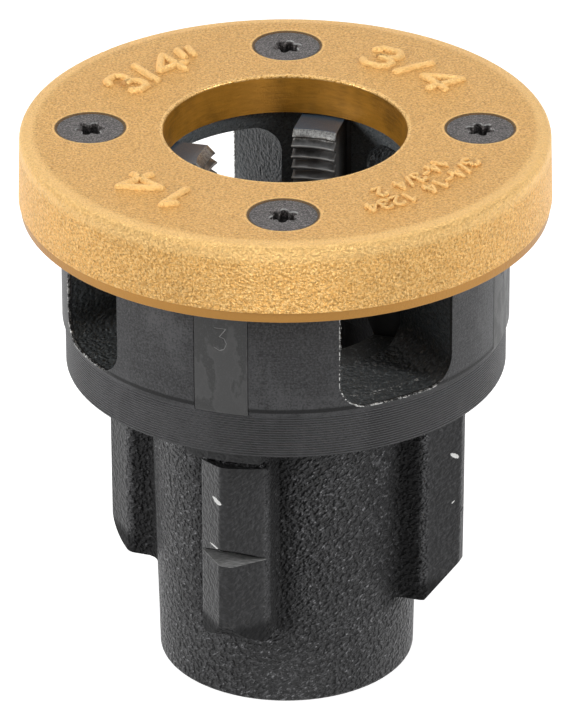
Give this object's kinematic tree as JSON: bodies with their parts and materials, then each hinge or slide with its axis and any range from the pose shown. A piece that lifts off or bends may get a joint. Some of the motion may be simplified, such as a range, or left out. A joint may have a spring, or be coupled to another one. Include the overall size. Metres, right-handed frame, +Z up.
{
  "type": "pipe threading die head",
  "caption": "Round head that cuts a taper pipe thread: ground chasers in a slotted iron body with a guide sleeve and drive ribs, under a gold painted screw-on cover.",
  "frame": {"origin": "centre of the sleeve's free end, on the axis, where the head stands", "axes": "+Z up the axis from the sleeve's free end to the cover, +X towards one cover screw, -Y towards the viewer of the picture"},
  "size_m": [0.0806, 0.0806, 0.0884],
  "materials": {
    "black_iron": "oil-blackened casting, head and band turned",
    "gold_paint": "gold hammer paint over a cast surface",
    "tool_steel": "ground, dark oxide",
    "screw_steel": "blackened"
  },
  "bodies": {
    "root": {"body": "black_iron", "cover": "gold_paint", "die_1": "tool_steel", "die_2": "tool_steel", "die_3": "tool_steel", "die_4": "tool_steel", "cover_screws": "screw_steel"}
  },
  "joints": []
}
